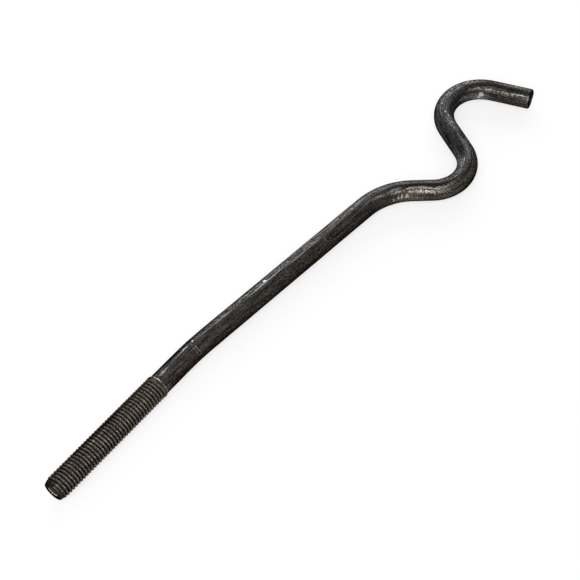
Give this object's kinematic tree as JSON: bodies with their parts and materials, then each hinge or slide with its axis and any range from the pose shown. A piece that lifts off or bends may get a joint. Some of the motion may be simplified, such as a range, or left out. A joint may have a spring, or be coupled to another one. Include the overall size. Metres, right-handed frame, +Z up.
{
  "type": "anchor bolt",
  "caption": "Steel foundation anchor bolt: one round bar, straight rolled thread at one end, offset bend, and an S-shaped hook that is cast into concrete.",
  "frame": {"origin": "centre of the flat face at the threaded end", "axes": "+X along the thread, from its end towards the hook; the bolt lies flat in the XY plane with its hook out to -Y; +Z up"},
  "size_m": [0.4491, 0.0674, 0.0158],
  "materials": {
    "black_steel": "hot-rolled mill scale, dark, lightly oiled"
  },
  "bodies": {
    "root": {"anchor_bolt": "black_steel"}
  },
  "joints": []
}
